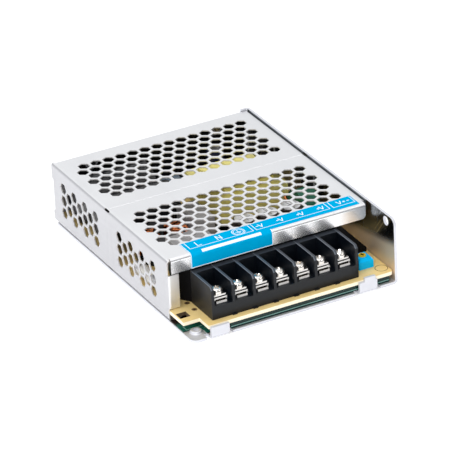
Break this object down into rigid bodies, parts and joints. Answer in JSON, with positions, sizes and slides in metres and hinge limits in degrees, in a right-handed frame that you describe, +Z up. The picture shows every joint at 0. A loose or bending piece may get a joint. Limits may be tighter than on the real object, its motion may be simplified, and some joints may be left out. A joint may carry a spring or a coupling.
{
  "type": "enclosed switching power supply",
  "caption": "Flat enclosed switching power supply: folded sheet chassis, perforated cover with hexagonal vents, front barrier terminal block and a small voltage trimmer.",
  "frame": {"origin": "middle of the base's underside, under the middle of the overall box", "axes": "+X to the right, +Y from the terminals to the back, +Z up from the base"},
  "size_m": [0.097, 0.129, 0.03],
  "materials": {
    "chassis_metal": "bright plated sheet",
    "cover_metal": "satin plated sheet",
    "label_blue": "satin printed film",
    "film_green": "satin film",
    "board_tan": "satin laminate",
    "block_black": "fine satin moulding",
    "fibre_black": "pressed fibre sheet",
    "tin_plate": "bright tin plate",
    "screw_steel": "bright zinc plate",
    "trimmer_blue": "satin",
    "trimmer_yellow": "satin",
    "fuse_ceramic": "ceramic tube with plated caps",
    "thermistor_green": "dipped coating",
    "box_grey": "moulded box",
    "ferrite_dark": "sintered ferrite",
    "copper_wire": "enamelled wire",
    "disc_blue": "dipped coating",
    "device_black": "moulded epoxy",
    "sleeve_black": "shrink sleeve",
    "tape_yellow": "polyester tape",
    "pad_grey": "thermal pad",
    "spring_steel": "spring strip",
    "ring_green": "coated powder ring",
    "sleeve_brown": "shrink sleeve",
    "opto_white": "moulded epoxy",
    "resistor_grey": "lacquer",
    "sleeve_navy": "shrink sleeve"
  },
  "bodies": {
    "case": {"chassis": "chassis_metal", "cover": "cover_metal", "front_label": "label_blue", "insulating_sheet": "film_green", "board_posts": "screw_steel", "circuit_board": "board_tan", "board_screws": "screw_steel", "cover_screws": "screw_steel", "terminal_block": "block_black", "terminal_plates": "tin_plate", "terminal_clamps": "tin_plate", "terminal_washers": "tin_plate", "terminal_screws": "tin_plate", "barrier_sheet": "fibre_black", "rear_sheet": "fibre_black", "trimmer_body": "trimmer_blue", "input_fuse": "fuse_ceramic", "inrush_thermistor": "thermistor_green", "filter_capacitors": "box_grey", "filter_choke_core": "ferrite_dark", "filter_choke_windings": "copper_wire", "filter_choke_carrier": "block_black", "safety_capacitors": "disc_blue", "bridge_rectifier": "device_black", "bulk_capacitors": "sleeve_black", "transformer_bobbin": "block_black", "transformer_winding": "tape_yellow", "transformer_core": "ferrite_dark", "transformer_tape": "tape_yellow", "switch_transistor": "device_black", "output_rectifier": "device_black", "thermal_pads": "pad_grey", "clamp_springs": "spring_steel", "clamp_screws": "screw_steel", "output_choke_core": "ring_green", "output_choke_winding": "copper_wire", "output_capacitors": "sleeve_brown", "optocoupler": "opto_white", "control_chip": "device_black", "power_resistors": "resistor_grey", "supply_capacitor": "sleeve_navy"},
    "rotor": {"trimmer_rotor": "trimmer_yellow"}
  },
  "joints": [
    {"name": "trimmer_turn", "type": "hinge", "parent": "case", "child": "rotor", "pos_m": [0.03848, -0.05195, 0.0107], "axis": [0, 0, 1], "range_deg": [-120, 120]}
  ]
}
